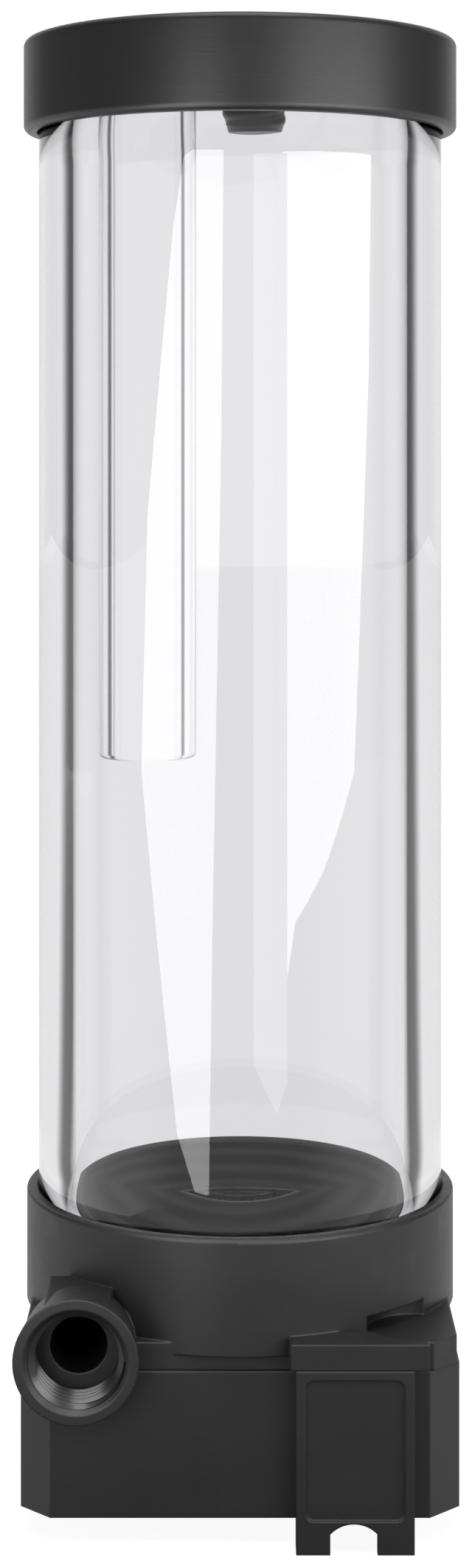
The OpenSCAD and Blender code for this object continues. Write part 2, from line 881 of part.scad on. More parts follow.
module cable_cover() {
    hollow_w = fork_w - 2 * fork_wall;
    panel_w = fork_w - 2 * fork_rim;
    color([0.09, 0.09, 0.095])
        difference() {
            plate(fork_front, -housing_half)
                fork_outline();
            plate(fork_front - past, fork_front + fork_recess)
                translate([fork_left + fork_rim, 0.9])
                    round_rect(panel_w, brow_z - fork_rim - 0.9, 1.2);
            plate(fork_front + fork_recess + 1.1, -housing_half + past)
                translate([fork_left + fork_wall, -prong_length - past])
                    square([hollow_w, brow_z - fork_wall + prong_length + past]);
        }
}

reservoir_tube();
top_cap();
cap_seal();
drop_tube();
fill_plug();
fill_plug_ring();
bleed_screw();
bleed_screw_ring();
tube_seal();
pump_top();
housing_ring();
impeller();
rotor_magnet();
rotor_bush();
rotor_shaft();
thrust_washer();
isolation_can();
stator_core();
stator_coils();
circuit_board();
board_capacitors();
driver_chips();
lead_header();
cable_grommet();
motor_housing();
bottom_cover();
housing_screws();
cable_cover();
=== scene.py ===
import json
import math

import bmesh
import bpy
from bpy.props import FloatProperty, FloatVectorProperty, IntProperty, PointerProperty
from mathutils import Matrix, Vector


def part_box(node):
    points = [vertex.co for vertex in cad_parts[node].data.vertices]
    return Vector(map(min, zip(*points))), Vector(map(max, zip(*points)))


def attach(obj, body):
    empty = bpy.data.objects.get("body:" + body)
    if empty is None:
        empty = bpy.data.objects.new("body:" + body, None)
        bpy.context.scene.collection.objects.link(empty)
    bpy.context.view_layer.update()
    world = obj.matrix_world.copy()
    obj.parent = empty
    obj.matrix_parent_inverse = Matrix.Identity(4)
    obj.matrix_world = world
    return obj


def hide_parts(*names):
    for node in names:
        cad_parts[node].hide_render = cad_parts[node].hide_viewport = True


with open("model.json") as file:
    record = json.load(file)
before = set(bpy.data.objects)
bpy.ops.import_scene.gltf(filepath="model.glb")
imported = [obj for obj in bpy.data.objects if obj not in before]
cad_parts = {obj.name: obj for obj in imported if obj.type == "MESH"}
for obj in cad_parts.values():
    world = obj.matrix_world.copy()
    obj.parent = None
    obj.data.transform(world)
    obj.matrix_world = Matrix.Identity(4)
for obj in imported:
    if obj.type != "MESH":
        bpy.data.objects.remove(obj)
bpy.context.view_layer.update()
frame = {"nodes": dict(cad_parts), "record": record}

bl_info = {
    "name": "Coolant pump reservoir",
    "version": (1, 0, 0),
    "blender": (4, 5, 0),
    "location": "3D View > Sidebar > Coolant",
    "description": "Dresses the packed coolant pump reservoir in clear acrylic and black plastic",
    "category": "Object",
}

MM = 0.001
NODES = frame["nodes"]


def low(node):
    """Lowest corner of a solid."""
    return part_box(node)[0]


def high(node):
    """Highest corner of a solid."""
    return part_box(node)[1]


# Main places, all taken from the solids
TUBE_R = high("reservoir_tube").x
TUBE_Z = low("reservoir_tube").z
TUBE_TOP = high("reservoir_tube").z
CAP_R = high("top_cap").x
CAP_Z = low("top_cap").z
CAP_TOP = high("top_cap").z
COLLAR_R = high("pump_top").x
RIM_Z = high("pump_top").z
LEDGE_Z = low("tube_seal").z
DROP = (low("drop_tube") + high("drop_tube")) / 2
DROP_R = (high("drop_tube").x - low("drop_tube").x) / 2
HOUSING_X = high("motor_housing").x
HOUSING_TOP = high("motor_housing").z
BLEED = (low("bleed_screw") + high("bleed_screw")) / 2
FILL = (low("fill_plug") + high("fill_plug")) / 2
PORT_FACE = low("pump_top").y
OUTLET = Vector(next(
    mount["pos_m"] for mount in frame["record"]["mounts"] if mount["name"] == "outlet_port"))
FLOOR_Z = low("cable_cover").z

# Shades of the studio
WHITE = (1, 1, 1)
BLACK = (0, 0, 0)
BACK_SHADE = (0.9, 0.89, 0.905)
SIDE_SHADE = (0.1, 0.098, 0.1)
FRONT_SHADE = (0.07, 0.07, 0.07)
THROUGH_SHADE = (0.84, 0.832, 0.845)
FLAG_SHADE = (0.05, 0.048, 0.05)
FLOOR_MATT = (0.16, 0.16, 0.16)
FLOOR_SHINE = (0.85, 0.85, 0.85)
FLOOR_FRONT_SHINE = (0.1, 0.1, 0.1)
FLOOR_GLOW = 0.93
FLOOR_REACH = 3.0
CAMERA_SHIFT = (-0.00258, -0.219)


# Reflectors: name, turn from the front, distance, strength and outline (along, height) in mm
TAPERS = (
    ("taper_left", -34, 135, 5.5,
     ((26, 211), (66, 212), (62, 149), (50, 60), (45, 9), (40, 9), (28, 16), (6, 27), (-41, 90),
      (-32, 136), (2, 188))),
    ("taper_middle", 18, 230, 2.0,
     ((-45, 215), (26, 215), (26, 14), (4, 8), (-45, 18))),
    ("taper_right", 42, 230, 6.0,
     ((-84, 224), (150, 229), (138, 166), (106, 108), (88, 77), (12, 59), (-54, 47), (-84, 26))),
)


class ReservoirSizes(bpy.types.PropertyGroup):
    """Sizes of the clear tubes and the threads."""

    wall: FloatProperty(
        name="Tube wall", description="Wall of the clear tube", default=5 * MM,
        min=2 * MM, max=8 * MM, unit="LENGTH")
    drop_wall: FloatProperty(
        name="Drop tube wall", description="Wall of the drop tube", default=2.2 * MM,
        min=1 * MM, max=3 * MM, unit="LENGTH")
    tube_pitch: FloatProperty(
        name="Tube thread pitch", description="Pitch of the clear tube's thread under the cap",
        default=2 * MM, min=1 * MM, max=3 * MM, unit="LENGTH")
    foot_pitch: FloatProperty(
        name="Foot thread pitch", description="Pitch of the clear tube's thread in the collar",
        default=2.7 * MM, min=1 * MM, max=4 * MM, unit="LENGTH")
    port_radius: FloatProperty(
        name="Port radius", description="Major radius of the ports' pipe thread", default=6.58 * MM,
        min=4 * MM, max=8 * MM, unit="LENGTH")
    port_pitch: FloatProperty(
        name="Port thread pitch", description="Pitch of the ports' pipe thread", default=1.337 * MM,
        min=0.8 * MM, max=2 * MM, unit="LENGTH")
    bleed_pitch: FloatProperty(
        name="Bleed thread pitch", description="Pitch of the bleed screw's thread",
        default=0.907 * MM, min=0.5 * MM, max=1.5 * MM, unit="LENGTH")
    soft_edge: FloatProperty(
        name="Soft edge", description="Rounding of the moulded edges", default=0.4 * MM,
        min=0.05 * MM, max=0.6 * MM, unit="LENGTH")
    segments: IntProperty(
        name="Segments", description="Steps round the clear tube", default=320, min=96, max=512)


class ReservoirColours(bpy.types.PropertyGroup):
    """Colours of the finishes."""

    acrylic: FloatVectorProperty(
        name="Acrylic", description="Tint of the clear acrylic", default=(0.985, 0.985, 0.99),
        size=3, min=0, max=1, subtype="COLOR")
    acetal: FloatVectorProperty(
        name="Acetal", description="Colour of the turned black acetal",
        default=(0.014, 0.014, 0.0145), size=3, min=0, max=1, subtype="COLOR")
    nylon: FloatVectorProperty(
        name="Moulded nylon", description="Colour of the moulded black nylon",
        default=(0.008, 0.008, 0.0083), size=3, min=0, max=1, subtype="COLOR")
    rubber: FloatVectorProperty(
        name="Seal rubber", description="Colour of the seals", default=(0.014, 0.014, 0.014),
        size=3, min=0, max=1, subtype="COLOR")


class StageSettings(bpy.types.PropertyGroup):
    """Camera and light."""

    distance: FloatProperty(
        name="Camera distance", description="Distance of the camera in front of the tube's axis",
        default=423.5 * MM, min=0.1, max=5, unit="LENGTH")
    height: FloatProperty(
        name="Camera height", description="Height of the camera above the pump's base",
        default=149.55 * MM, min=0, max=1, unit="LENGTH")
    lens: FloatProperty(
        name="Lens", description="Focal length", default=64.96, min=20, max=200, unit="CAMERA")
    surround: FloatProperty(
        name="Surround", description="Strength of the light from all round", default=0.4, min=0,
        max=2)
    key: FloatProperty(
        name="Softboxes", description="Strength of the large softboxes", default=1.0, min=0, max=4)


# ---------------------------------------------------------------- shader maths


class Value:
    """A shader socket that takes part in Python arithmetic."""

    def __init__(self, finish, socket):
        self.finish = finish
        self.socket = socket

    def maths(self, operation, *terms):
        """A Math node on these terms."""
        return self.finish.node("ShaderNodeMath", {"operation": operation}, dict(enumerate(terms)))

    def __add__(self, other):
        return self.maths("ADD", self, other)

    def __radd__(self, other):
        return self.maths("ADD", other, self)

    def __sub__(self, other):
        return self.maths("SUBTRACT", self, other)

    def __rsub__(self, other):
        return self.maths("SUBTRACT", other, self)

    def __mul__(self, other):
        return self.maths("MULTIPLY", self, other)

    def __rmul__(self, other):
        return self.maths("MULTIPLY", other, self)

    def __truediv__(self, other):
        return self.maths("DIVIDE", self, other)

    def __pow__(self, other):
        return self.maths("POWER", self, other)

    def __abs__(self):
        return self.maths("ABSOLUTE", self)

    def largest(self, other):
        """The larger of two values."""
        return self.maths("MAXIMUM", self, other)

    def above(self, edge, width):
        """0 below the edge and 1 above it, blended over a width."""
        return self.finish.node(
            "ShaderNodeMapRange", {"interpolation_type": "SMOOTHSTEP"},
            {"Value": self, "From Min": edge - width / 2, "From Max": edge + width / 2})

    def output(self, name):
        """Another output of the same node."""
        return Value(self.finish, self.socket.node.outputs[name])


class Finish:
    """A material, or the world, whose nodes are being laid."""

    def __init__(self, owner):
        self.owner = owner
        owner.use_nodes = True
        self.tree = owner.node_tree
        self.tree.nodes.clear()

    def node(self, kind, settings=None, inputs=None):
        """Adds a node: its settings first, then the values or links of its sockets."""
        made = self.tree.nodes.new(kind)
        for name, value in (settings or {}).items():
            if name == "stops":
                ramp = made.color_ramp.elements
                for index, (place, colour) in enumerate(value):
                    stop = ramp[index] if index < len(ramp) else ramp.new(place)
                    stop.position = place
                    stop.color = (*colour, 1)
            else:
                setattr(made, name, value)
        for name, value in (inputs or {}).items():
            if isinstance(value, Value):
                self.tree.links.new(value.socket, made.inputs[name])
            else:
                made.inputs[name].default_value = value
        shown = [s for s in made.outputs if s.enabled] or [None]
        return Value(self, shown[0])

    def mix(self, factor, first, second):
        """Blends two colours."""
        return self.node(
            "ShaderNodeMix", {"data_type": "RGBA"},
            {0: factor, 6: colour(first), 7: colour(second)})

    def place(self):
        """Where a point is, in metres, before the piece moves."""
        return self.node("ShaderNodeTexCoord").output("Object")

    def noise(self, scale, detail=3, roughness=0.5, stretch=None):
        """Noise with so many cells to a metre, stretched along the axes where asked."""
        at = self.place()
        if stretch:
            at = self.node(
                "ShaderNodeVectorMath", {"operation": "MULTIPLY"}, {0: at, 1: stretch})
        return self.node(
            "ShaderNodeTexNoise", None,
            {"Vector": at, "Scale": scale, "Detail": detail, "Roughness": roughness})

    def bump(self, height, distance, strength=1.0, edge=0.0):
        """A normal from a height, over edges that are rounded by so much."""
        inputs = {"Height": height, "Distance": distance, "Strength": strength}
        if edge:
            inputs["Normal"] = self.node("ShaderNodeBevel", {"samples": 6}, {"Radius": edge})
        return self.node("ShaderNodeBump", None, inputs)

    def plastic(self, **sockets):
        """Ends the material in a Principled shader."""
        named = {name.replace("_", " "): value for name, value in sockets.items()}
        shader = self.node("ShaderNodeBsdfPrincipled", None, named)
        self.node("ShaderNodeOutputMaterial", None, {"Surface": shader})
        return self.owner


def colour(value):
    """A colour with its alpha, or the socket as it is."""
    return value if isinstance(value, Value) else (*value[:3], 1)


def material(name):
    """A new material to lay nodes in."""
    return Finish(bpy.data.materials.new(name))


# ---------------------------------------------------------------- finishes


def clear_acrylic(name, tint, index=1.49, cut=None):
    """Polished cast acrylic with the faintest haze, frosted on cut threads outside a radius."""
    finish = material(name)
    rough = finish.noise(220, 4, 0.6, (1, 1, 0.25)).above(0.66, 0.2) * 0.012
    if cut:
        radius, bottom, top = cut
        parts = finish.node("ShaderNodeSeparateXYZ", None, {0: finish.place()})
        across, along, up = parts.output("X"), parts.output("Y"), parts.output("Z")
        outside = ((across * across + along * along) ** 0.5).above(radius, 0.2 * MM)
        ends = 1 - up.above(bottom, 0.3 * MM) * (1 - up.above(top, 0.3 * MM))
        rough = rough + outside * ends * 0.38
    return finish.plastic(
        Base_Color=colour(tint), Roughness=rough, IOR=index, Transmission_Weight=1.0)


def turned_acetal(name, shade, edge):
    """Black acetal off the lathe: fine rings on the faces and satin sides."""
    finish = material(name)
    grain = finish.noise(900, 3, 0.6)
    streak = finish.noise(260, 4, 0.65, (1, 1, 14))
    cloud = finish.noise(38, 3, 0.5)
    tone = finish.mix(cloud.above(0.5, 0.5) * 0.5, shade, [c * 1.35 + 0.002 for c in shade])
    rough = 0.3 + streak * 0.12 + cloud * 0.06
    height = streak * 0.7 + grain * 0.3
    return finish.plastic(
        Base_Color=tone, Roughness=rough, IOR=1.48, Normal=finish.bump(height, 0.00004, 0.35, edge))


def moulded_nylon(name, shade, edge):
    """Moulded black nylon: a fine spark-eroded grain, faint flow marks and rubbed patches."""
    finish = material(name)
    grain = finish.noise(3600, 2, 0.55)
    pebble = finish.noise(1300, 3, 0.6)
    flow = finish.noise(55, 4, 0.55, (1, 1, 2.2))
    rub = finish.noise(140, 5, 0.7).above(0.6, 0.22)
    tone = finish.mix(flow.above(0.52, 0.5) * 0.6, shade, [c * 1.5 + 0.002 for c in shade])
    tone = finish.mix(rub * 0.25, tone, [c * 2.1 + 0.004 for c in shade])
    rough = 0.4 + grain * 0.1 + flow * 0.08 - rub * 0.06
    height = grain * 0.5 + pebble * 0.5
    return finish.plastic(
        Base_Color=tone, Roughness=rough, IOR=1.5, Normal=finish.bump(height, 0.00005, 0.3, edge))


def seal_rubber(name, shade):
    """Matt black seal rubber with a bloom of talc."""
    finish = material(name)
    bloom = finish.noise(700, 4, 0.6).above(0.62, 0.25)
    tone = finish.mix(bloom * 0.35, shade, (0.06, 0.06, 0.058))
    return finish.plastic(
        Base_Color=tone, Roughness=0.62 + bloom * 0.2, IOR=1.45,
        Normal=finish.bump(bloom, 0.00002, 0.3))


def satin_plastic(name, shade, rough=0.42, variation=1.3):
    """Plain moulded plastic of one colour with a satin surface."""
    finish = material(name)
    cloud = finish.noise(160, 4, 0.55)
    grain = finish.noise(3000, 2, 0.5)
    tone = finish.mix(cloud.above(0.5, 0.5), shade, [min(1, c * variation) for c in shade])
    return finish.plastic(
        Base_Color=tone, Roughness=rough + grain * 0.1, IOR=1.5,
        Normal=finish.bump(grain, 0.00002, 0.3))


def metal(name, shade, rough, scale, stretch):
    """Metal with a drawn or stacked grain."""
    finish = material(name)
    line = finish.noise(scale, 4, 0.6, stretch)
    tone = finish.mix(line.above(0.5, 0.6) * 0.6, shade, [c * 0.72 for c in shade])
    return finish.plastic(
        Base_Color=tone, Roughness=rough + line * 0.16, Metallic=1.0,
        Normal=finish.bump(line, 0.00003, 0.5))


def wound_copper(name):
    """Enamelled wire laid side by side round each coil; painted shade in grooves, highlight on
    crests.
    """
    finish = material(name)
    at = finish.place()
    reach = finish.node("ShaderNodeVectorMath", {"operation": "MULTIPLY"}, {0: at, 1: (1, 1, 0)})
    out = finish.node("ShaderNodeVectorMath", {"operation": "LENGTH"}, {0: reach}).output("Value")
    wave = out.maths("SINE", out * (2 * math.pi / (0.45 * MM)))
    wire_crest_and_painted_shade = wave * 0.5 + 0.5
    # Painted shade and highlight: the copper is coloured darker between the wires and lighter on
    # their crests
    tone = finish.mix(wire_crest_and_painted_shade, (0.3, 0.09, 0.025), (0.75, 0.3, 0.1))
    return finish.plastic(
        Base_Color=tone, Roughness=0.3 + (1 - wire_crest_and_painted_shade) * 0.2, Metallic=0.75, Coat_Weight=0.5,
        Normal=finish.bump(wire_crest_and_painted_shade, 0.00012, 0.8))


def solder_mask(name):
    """Green board with lighter copper tracks under the mask."""
    finish = material(name)
    cells = finish.node(
        "ShaderNodeTexVoronoi", {"feature": "DISTANCE_TO_EDGE", "distance": "EUCLIDEAN"},
        {"Vector": finish.place(), "Scale": 260.0})
    track = 1 - cells.output("Distance").above(0.12, 0.04)
    tone = finish.mix(track, (0.006, 0.07, 0.02), (0.02, 0.2, 0.06))
    return finish.plastic(
        Base_Color=tone, Roughness=0.3 + track * 0.06, IOR=1.5,
        Normal=finish.bump(track, 0.00003, 0.5))


# ---------------------------------------------------------------- mesh tools


def mesh_object(name, verts, faces, smooth_angle=35):
    """An object from points and faces turned outwards, shaded smooth up to an angle."""
    mesh = bpy.data.meshes.new(name)
    mesh.from_pydata(verts, [], faces)
    mesh.update()
    work = bmesh.new()
    work.from_mesh(mesh)
    bmesh.ops.recalc_face_normals(work, faces=work.faces)
    work.to_mesh(mesh)
    work.free()
    mesh.shade_smooth()
    mesh.set_sharp_from_angle(angle=math.radians(smooth_angle))
    made = bpy.data.objects.new(name, mesh)
    bpy.context.scene.collection.objects.link(made)
    return made


def lathe(name, outline, segments, smooth_angle=35):
    """Turns a closed outline of (radius, height) round Z. A radius may depend on the angle."""
    verts = []
    for step in range(segments):
        angle = 2 * math.pi * step / segments
        for radius, z in outline:
            r = radius(angle) if callable(radius) else radius
            verts.append((r * math.cos(angle), r * math.sin(angle), z))
    count = len(outline)
    faces = []
    for step in range(segments):
        here, there = step * count, (step + 1) % segments * count
        for i in range(count):
            j = (i + 1) % count
            faces.append((here + i, there + i, there + j, here + j))
    return mesh_object(name, verts, faces, smooth_angle)


def corner(r, z, radius, start, steps=5):
    """Points of a rounded corner about (r, z), a quarter turn from an angle in degrees."""
    return [
        (r + radius * math.cos(math.radians(start + 90 * i / steps)),
         z + radius * math.sin(math.radians(start + 90 * i / steps)))
        for i in range(steps + 1)]


def thread_rows(root, crest, z0, z1, pitch, rows=14):
    """Outline points of a threaded stretch from z0 to z1, with the thread run out at its ends."""
    count = max(2, round((z1 - z0) / pitch * rows))
    points = []
    for i in range(count + 1):
        z = z0 + (z1 - z0) * i / count

        def radius(angle, z=z):
            turn = (z - z0) / pitch - angle / (2 * math.pi)
            wave = abs((turn % 1) * 2 - 1)
            flank = min(1, max(0, (wave - 0.14) / 0.72))
            fade = min(1, (z - z0) / (0.35 * pitch), (z1 - z) / (0.35 * pitch))
            return root + (crest - root) * flank * max(0, fade)

        points.append((radius, z))
    return points


def ridge(name, root, crest, z0, z1, pitch, around=72):
    """A helical ridge of thread on its own, for the wall of a bore or a shank."""
    turns = (z1 - z0) / pitch
    steps = int(turns * around)
    profile = [(-0.46, 0), (-0.13, 0.86), (-0.06, 1), (0.06, 1), (0.13, 0.86), (0.46, 0)]
    verts, faces = [], []
    for step in range(steps + 1):
        angle = 2 * math.pi * step / around
        middle = z0 + pitch * step / around
        fade = min(1, step / (around * 0.3), (steps - step) / (around * 0.3))
        for along, share in profile:
            r = root + (crest - root) * share * max(0.02, fade)
            verts.append((r * math.cos(angle), r * math.sin(angle), middle + along * pitch))
    width = len(profile)
    for step in range(steps):
        here, there = step * width, (step + 1) * width
        for i in range(width):
            j = (i + 1) % width
            faces.append((here + i, there + i, there + j, here + j))
    faces.append(tuple(range(width)))
    faces.append(tuple(steps * width + i for i in reversed(range(width))))
    return mesh_object(name, verts, faces, 40)


def settle(made):
    """Applies the modifiers of an object."""
    bpy.context.view_layer.update()
    shaped = made.evaluated_get(bpy.context.evaluated_depsgraph_get())
    mesh = bpy.data.meshes.new_from_object(shaped)
    made.modifiers.clear()
    old = made.data
    made.data = mesh
    if old.users == 0:
        bpy.data.meshes.remove(old)


def dress(made, finish):
    """Gives an object one material."""
    made.data.materials.clear()
    made.data.materials.append(finish)
    return made


def fit(made, body, slot, *nodes):
    """Lets a piece ride on a body and stand for solids, which it hides; the slot is not used."""
    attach(made, body)
    if nodes:
        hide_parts(*nodes)
    return made


def coat(node, finish):
    """A new material on a solid that keeps its own mesh."""
    slots = NODES[node].material_slots
    for slot in slots:
        slot.material = finish
    if not slots:
        NODES[node].data.materials.append(finish)


def shifted(made, x, y, z=0.0):
    """Moves the points of a new mesh."""
    made.data.transform(Matrix.Translation((x, y, z)))
    return made


# ---------------------------------------------------------------- pieces


def studio_shade(finish, side, back):
    """What the part reflects: white behind it, darker at the sides and in front."""
    shade = finish.mix(side.above(0.62, 0.4), BACK_SHADE, SIDE_SHADE)
    return finish.mix((0 - back).above(0.1, 0.6), shade, FRONT_SHADE)


def tube_shade(finish, side, back):
    """What shows through the clear tubes: white, with a dark flag to each side of the back."""
    flag = side.above(0.7, 0.16) * (1 - side.above(0.88, 0.08)) * back.above(0.1, 0.2)
    return finish.mix(flag, THROUGH_SHADE, FLAG_SHADE)


class COOLANT_OT_stage(bpy.types.Operator):
    """Sets the camera, the pale floor and the soft studio light"""

    bl_idname = "coolant.stage"
    bl_label = "Stage"

    def execute(self, context):
        stage = context.scene.coolant_stage
        self.camera(context, stage)
        self.floor()
        self.world(context, stage)
        self.lamps(stage)
        self.tapers()
        context.scene.view_settings.view_transform = "Standard"
        return {"FINISHED"}

    def camera(self, context, stage):
        """A level camera with its horizon in the upper part of the frame."""
        data = bpy.data.cameras.new("camera")
        data.lens = stage.lens
        data.sensor_width = 36
        data.shift_x, data.shift_y = CAMERA_SHIFT
        data.clip_start = 0.01
        camera = bpy.data.objects.new("camera", data)
        camera.location = (0, -stage.distance, stage.height)
        camera.rotation_euler = (math.radians(90), 0, 0)
        context.scene.collection.objects.link(camera)
        context.scene.camera = camera

    def floor(self):
        """A wide pale floor that shows white and keeps a faint shadow."""
        ends = (-FLOOR_REACH, FLOOR_REACH)
        floor = mesh_object(
            "floor", [(x, y, FLOOR_Z) for x in ends for y in ends], [(0, 2, 3, 1)])
        finish = material("pale_floor")
        path = finish.node("ShaderNodeLightPath")
        direct, through = path.output("Is Camera Ray"), path.output("Is Transmission Ray")
        parts = finish.node("ShaderNodeSeparateXYZ", None, {0: finish.place()})
        across, along = parts.output("X"), parts.output("Y")
        reach = (across * across + along * along) ** 0.5
        side, back = abs(across) / reach, along / reach
        shine = finish.mix((0 - back).above(0.3, 0.5), FLOOR_SHINE, FLOOR_FRONT_SHINE)
        shine = finish.mix(side.above(0.7, 0.4), shine, FLOOR_SHINE)
        shine = finish.mix(through, shine, tube_shade(finish, side, back))
        bright = finish.mix(direct, shine, WHITE)
        seen = direct.largest(path.output("Is Glossy Ray")).largest(through)
        matt = finish.node(
            "ShaderNodeBsdfDiffuse", None, {"Color": finish.mix(through, FLOOR_MATT, BLACK)})
        glow = finish.node(
            "ShaderNodeEmission", None, {"Color": bright, "Strength": seen * FLOOR_GLOW})
        both = finish.node("ShaderNodeAddShader", None, {0: matt, 1: glow})
        finish.node("ShaderNodeOutputMaterial", None, {"Surface": both})
        dress(floor, finish.owner)

    def world(self, context, stage):
        """White to look at, with its own shades for what reflects and refracts."""
        world = bpy.data.worlds.new("studio")
        context.scene.world = world
        finish = Finish(world)
        path = finish.node("ShaderNodeLightPath")
        through = path.output("Is Transmission Ray")
        towards = finish.node("ShaderNodeTexCoord").output("Generated")
        parts = finish.node("ShaderNodeSeparateXYZ", None, {0: towards})
        side, back = abs(parts.output("X")), parts.output("Y")
        shade = finish.mix(
            through, studio_shade(finish, side, back), tube_shade(finish, side, back))
        seen = path.output("Is Glossy Ray").largest(through)
        shade = finish.mix(seen, [stage.surround] * 3, shade)
        shade = finish.mix(path.output("Is Camera Ray"), shade, WHITE)
        glow = finish.node("ShaderNodeBackground", None, {"Color": shade, "Strength": 1.0})
        finish.node("ShaderNodeOutputWorld", None, {"Surface": glow})

    def lamps(self, stage):
        """Large softboxes left, right and overhead: only the last one shows in reflections."""
        places = (
            ("left", (-0.9, 0.2, 0.06), (0.4, 0.4), 5.0),
            ("right", (0.9, -0.25, 0.25), (0.4, 0.9), 5.0),
            ("over", (0.0, -0.25, 0.9), (0.7, 0.5), 5.0),
        )
        for name, at, size, power in places:
            data = bpy.data.lights.new("softbox_" + name, "AREA")
            data.shape = "RECTANGLE"
            data.size, data.size_y = size
            data.energy = power * stage.key
            lamp = bpy.data.objects.new("softbox_" + name, data)
            lamp.location = at
            lamp.visible_transmission = False
            lamp.visible_glossy = name == "over"
            aim = Vector((0, 0, 0.1)) - Vector(at)
            lamp.rotation_euler = aim.to_track_quat("-Z", "Y").to_euler()
            bpy.context.scene.collection.objects.link(lamp)

    def tapers(self):
        """Tall tapered reflectors that only shine in the polished tube."""
        for name, turn, away, strength, outline in TAPERS:
            turn = math.radians(turn)
            points = [
                (away * math.sin(turn) + u * math.cos(turn),
                 -away * math.cos(turn) + u * math.sin(turn), z) for u, z in outline]
            card = mesh_object(
                name, [[c * MM for c in point] for point in points],
                [tuple(range(len(points)))])
            finish = material(name)
            glow = finish.node("ShaderNodeEmission", None, {"Strength": strength})
            finish.node("ShaderNodeOutputMaterial", None, {"Surface": glow})
            dress(card, finish.owner)
            card.visible_camera = False
            card.visible_diffuse = False
            card.visible_transmission = False
            card.visible_shadow = False


class COOLANT_OT_reservoir_tube(bpy.types.Operator):
    """Builds the clear reservoir tube with its threaded ends"""

    bl_idname = "coolant.reservoir_tube"
    bl_label = "Reservoir tube"

    def execute(self, context):
        sizes = context.scene.coolant_sizes
        bore = TUBE_R - sizes.wall
        root = TUBE_R - 0.8 * MM
        low_root = TUBE_R - 0.3 * MM
        crest = TUBE_R - 0.12 * MM
        edge = 0.25 * MM
        low_land = RIM_Z - 0.6 * MM
        high_land = CAP_Z + 0.6 * MM
        outline = corner(bore + edge, TUBE_Z + edge, edge, 180)
        outline += corner(low_root - edge, TUBE_Z + edge, edge, 270)
        outline += thread_rows(
            low_root, crest, TUBE_Z + 0.5 * MM, low_land - 0.4 * MM, sizes.foot_pitch)
        outline += [(low_root, low_land - 0.12 * MM), (TUBE_R - 0.1 * MM, low_land),
                    (TUBE_R, low_land + 0.1 * MM)]
        span = 24
        outline += [(TUBE_R, low_land + 0.1 * MM + (high_land - low_land - 0.2 * MM) * i / span)
                    for i in range(1, span)]
        outline += [(TUBE_R, high_land - 0.1 * MM), (TUBE_R - 0.1 * MM, high_land),
                    (root, high_land + 0.12 * MM)]
        outline += thread_rows(
            root, crest, high_land + 0.4 * MM, TUBE_TOP - 0.5 * MM, sizes.tube_pitch)
        outline += corner(root - edge, TUBE_TOP - edge, edge, 0)
        outline += corner(bore + edge, TUBE_TOP - edge, edge, 90)
        outline += [(bore, TUBE_TOP + (TUBE_Z - TUBE_TOP) * i / span) for i in range(1, span)]
        tube = lathe("clear_tube", outline, sizes.segments, 50)
        cut = (TUBE_R - sizes.wall / 2, low_land, high_land)
        dress(tube, clear_acrylic("clear_tube", context.scene.coolant_colours.acrylic, cut=cut))
        fit(tube, "pump", "clear_acrylic", "reservoir_tube")
        return {"FINISHED"}


class COOLANT_OT_drop_tube(bpy.types.Operator):
    """Builds the clear drop tube that hangs from the cap"""

    bl_idname = "coolant.drop_tube"
    bl_label = "Drop tube"

    def execute(self, context):
        sizes = context.scene.coolant_sizes
        z0, z1 = low("drop_tube").z, high("drop_tube").z
        bore = DROP_R - sizes.drop_wall
        edge = 0.6 * MM
        outline = corner(bore + edge, z0 + edge, edge, 180)
        outline += corner(DROP_R - edge, z0 + edge, edge, 270)
        outline += corner(DROP_R - edge, z1 - edge, edge, 0)
        outline += corner(bore + edge, z1 - edge, edge, 90)
        tube = shifted(lathe("drop_tube_clear", outline, 160, 50), DROP.x, 0)
        dress(tube, clear_acrylic("drop_tube_clear", (1, 1, 1), 1.45))
        fit(tube, "cap", "clear_acrylic", "drop_tube")
        return {"FINISHED"}


def screw_plug(name, head_r, thread_r, pitch, seat_z, head_z, tip_z, at):
    """A turned screw plug: slotted head over a threaded neck with a pointed run-out."""
    edge = 0.4 * MM
    root = thread_r - 0.54 * pitch
    neck = seat_z - 0.9 * MM
    outline = [(0.02 * MM, tip_z), (root - 0.4 * MM, tip_z), (root - 0.1 * MM, tip_z + 0.3 * MM)]
    outline += thread_rows(root, thread_r, tip_z + 0.32 * MM, neck, pitch, 12)
    outline += [(root, seat_z - 0.1 * MM), (root, seat_z), (head_r - edge * 0.5, seat_z)]
    outline += [(head_r, seat_z + edge * 0.5)]
    outline += corner(head_r - edge, head_z - edge, edge, 0)
    outline += [(head_r * 0.55, head_z), (0.02 * MM, head_z)]
    plug = lathe(name, outline, 96, 40)
    half = 0.8 * MM
    deep = 0.9 * MM
    reach = head_r * 0.74
    slot = mesh_object(
        "slot_cutter",
        [(x, y, z) for x in (-reach, reach) for y in (-half, half)
         for z in (head_z - deep, head_z + deep)],
        [(0, 1, 3, 2), (4, 6, 7, 5), (0, 4, 5, 1), (2, 3, 7, 6), (0, 2, 6, 4), (1, 5, 7, 3)])
    cut = plug.modifiers.new("slot", "BOOLEAN")
    cut.object = slot
    cut.operation = "DIFFERENCE"
    cut.solver = "EXACT"
    settle(plug)
    bpy.data.objects.remove(slot)
    plug.data.shade_smooth()
    plug.data.set_sharp_from_angle(angle=math.radians(35))
    return shifted(plug, at.x, at.y)


